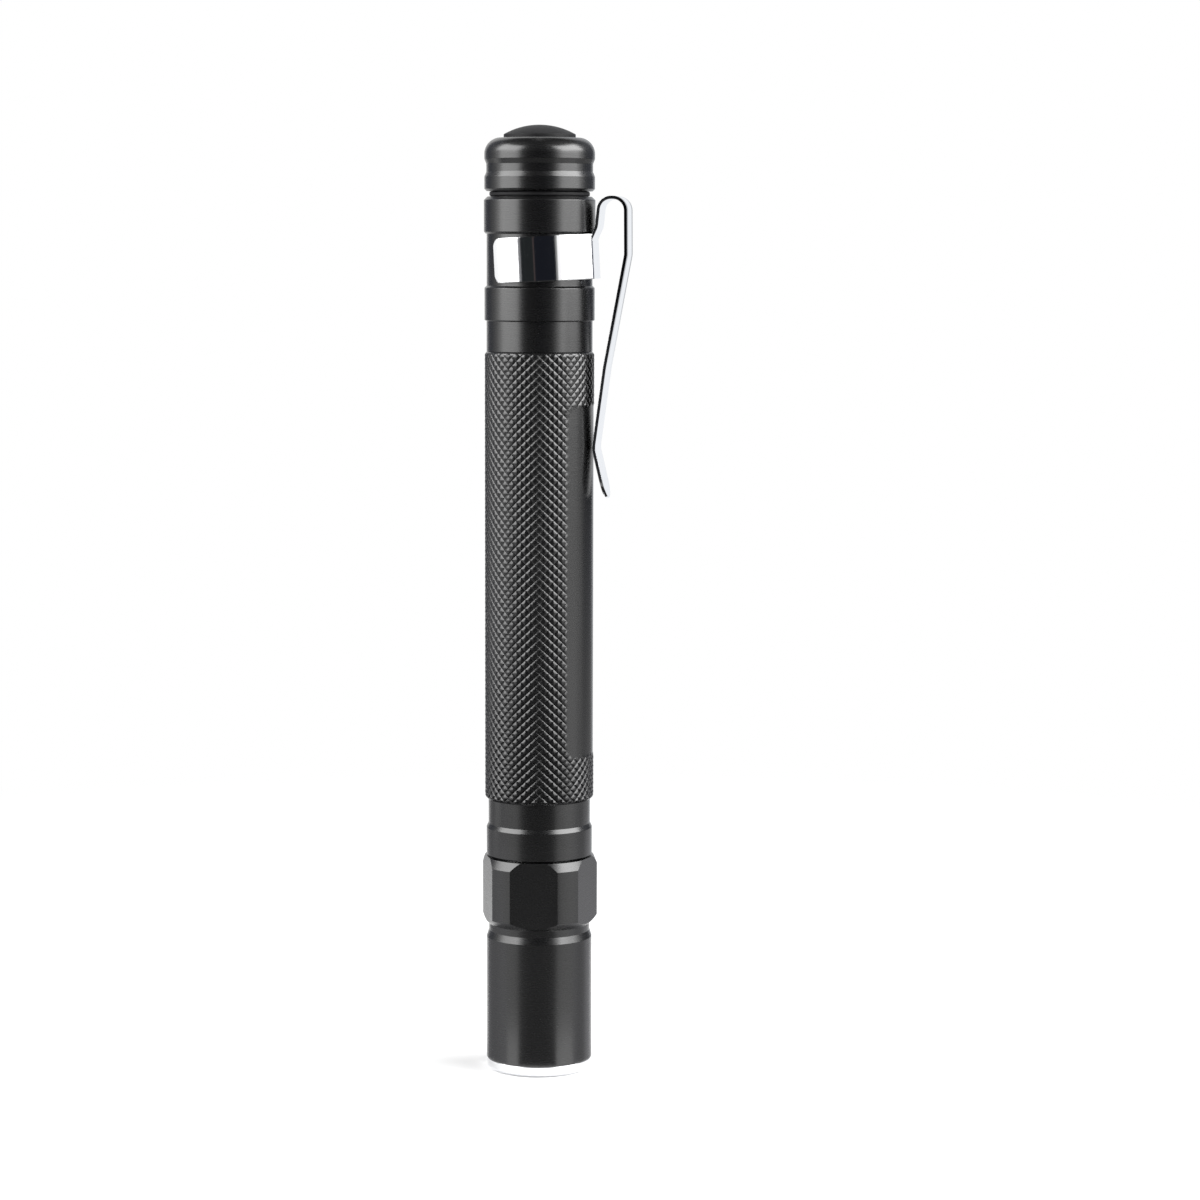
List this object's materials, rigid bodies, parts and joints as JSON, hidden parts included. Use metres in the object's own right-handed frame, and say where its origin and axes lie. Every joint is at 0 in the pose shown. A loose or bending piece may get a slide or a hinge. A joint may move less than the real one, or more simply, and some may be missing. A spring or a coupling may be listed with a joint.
{
  "type": "flashlight",
  "caption": "Slim cylindrical pen torch with a knurled grip, a tail push button, screw-on head and cap, and a sprung pocket clip.",
  "frame": {"origin": "centre of the front rim ring's end face, on the optical axis; the torch stands on that rim", "axes": "+Z along the tube's axis from the lens to the push button, +X from the axis to the pocket clip, +Y completes the right-handed frame"},
  "size_m": [0.0196, 0.0152, 0.125],
  "materials": {
    "black_anodised": "satin black anodised aluminium",
    "polished_steel": "polished stainless steel",
    "spring_steel": "bright sprung stainless sheet",
    "lens_glass": "clear polished",
    "rubber_black": "matt moulded rubber",
    "reflector_metal": "smooth metallised",
    "white_plastic": "matt white moulding",
    "emitter_dome": "clear silicone over yellow phosphor",
    "ceramic": "unglazed ceramic",
    "white_board": "white solder mask",
    "brass": "machined",
    "wire_red": "silicone insulation",
    "wire_black": "silicone insulation",
    "green_board": "green solder mask",
    "chip_black": "moulded epoxy",
    "spring_nickel": "nickel plated wire",
    "cell_steel": "bright plated can",
    "cell_wrap": "plain blue shrink wrap",
    "cell_seal": "grey fibre",
    "switch_plastic": "cream moulding",
    "ratchet_red": "red moulding",
    "contact_brass": "stamped strip",
    "washer_plastic": "natural nylon"
  },
  "bodies": {
    "head": {"rim_ring": "polished_steel", "lens": "lens_glass", "lens_gasket": "rubber_black", "reflector": "reflector_metal", "led_collar": "white_plastic", "led_dome": "emitter_dome", "led_base": "ceramic", "led_board": "white_board", "heat_sink": "brass", "lead_wire_plus": "wire_red", "lead_wire_minus": "wire_black", "driver_parts": "chip_black", "driver_board": "green_board", "front_spring": "spring_nickel", "head_shell": "black_anodised"},
    "neck_seal": {"front_seal": "rubber_black"},
    "tube": {"body_tube": "black_anodised", "front_cell_can": "cell_steel", "front_cell_wrap": "cell_wrap", "front_cell_seal": "cell_seal", "rear_cell_can": "cell_steel", "rear_cell_wrap": "cell_wrap", "rear_cell_seal": "cell_seal"},
    "clip": {"clip_band": "spring_steel"},
    "clip_spring": {"clip_arm": "spring_steel"},
    "cap_seal": {"tail_seal": "rubber_black"},
    "cap": {"tail_cap": "black_anodised", "retaining_ring": "brass", "tail_spring": "spring_nickel", "switch_board": "green_board", "switch_contact_left": "contact_brass", "switch_contact_right": "contact_brass", "switch_housing": "switch_plastic", "button_washer": "washer_plastic"},
    "button": {"switch_plunger": "switch_plastic", "button_boot": "rubber_black", "switch_spring": "spring_nickel"},
    "ratchet": {"switch_ratchet": "ratchet_red"}
  },
  "joints": [
    {"name": "head_travel", "type": "slide", "parent": "head", "child": "neck_seal", "axis": [0, 0, 1], "range_m": [0, 0.0045]},
    {"name": "head_turn", "type": "hinge", "parent": "neck_seal", "child": "tube", "pos_m": [0, 0, 0.0276], "axis": [0, 0, 1], "range_deg": [0, 2160]},
    {"name": "cap_travel", "type": "slide", "parent": "tube", "child": "cap_seal", "axis": [0, 0, 1], "range_m": [0, 0.0045]},
    {"name": "cap_turn", "type": "hinge", "parent": "cap_seal", "child": "cap", "pos_m": [0, 0, 0.116], "axis": [0, 0, 1], "range_deg": [0, 2160]},
    {"name": "clip_swivel", "type": "hinge", "parent": "tube", "child": "clip", "pos_m": [0, 0, 0.1076], "axis": [0, 0, 1], "continuous": true},
    {"name": "clip_flex", "type": "hinge", "parent": "clip", "child": "clip_spring", "pos_m": [0.00998, 0, 0.1158], "axis": [0, -1, 0], "range_deg": [0, 5], "stiffness_Nm_per_rad": 0.3, "springref_deg": -1.15},
    {"name": "button_press", "type": "slide", "parent": "cap", "child": "button", "axis": [0, 0, -1], "range_m": [0, 0.0012], "stiffness_N_per_m": 800, "springref_m": -0.0004, "deforming": ["button_boot", "switch_spring"]},
    {"name": "ratchet_turn", "type": "hinge", "parent": "button", "child": "ratchet", "pos_m": [0, 0, 0.1177], "axis": [0, 0, 1], "range_deg": [0, 45.1]}
  ],
  "couplings": [
    {"joint": "head_turn", "follows": "head_travel", "rad_per_m": 8377.5},
    {"joint": "cap_turn", "follows": "cap_travel", "rad_per_m": 8377.5},
    {"joint": "ratchet_turn", "follows": "button_press", "rad_per_m": 654.5}
  ]
}
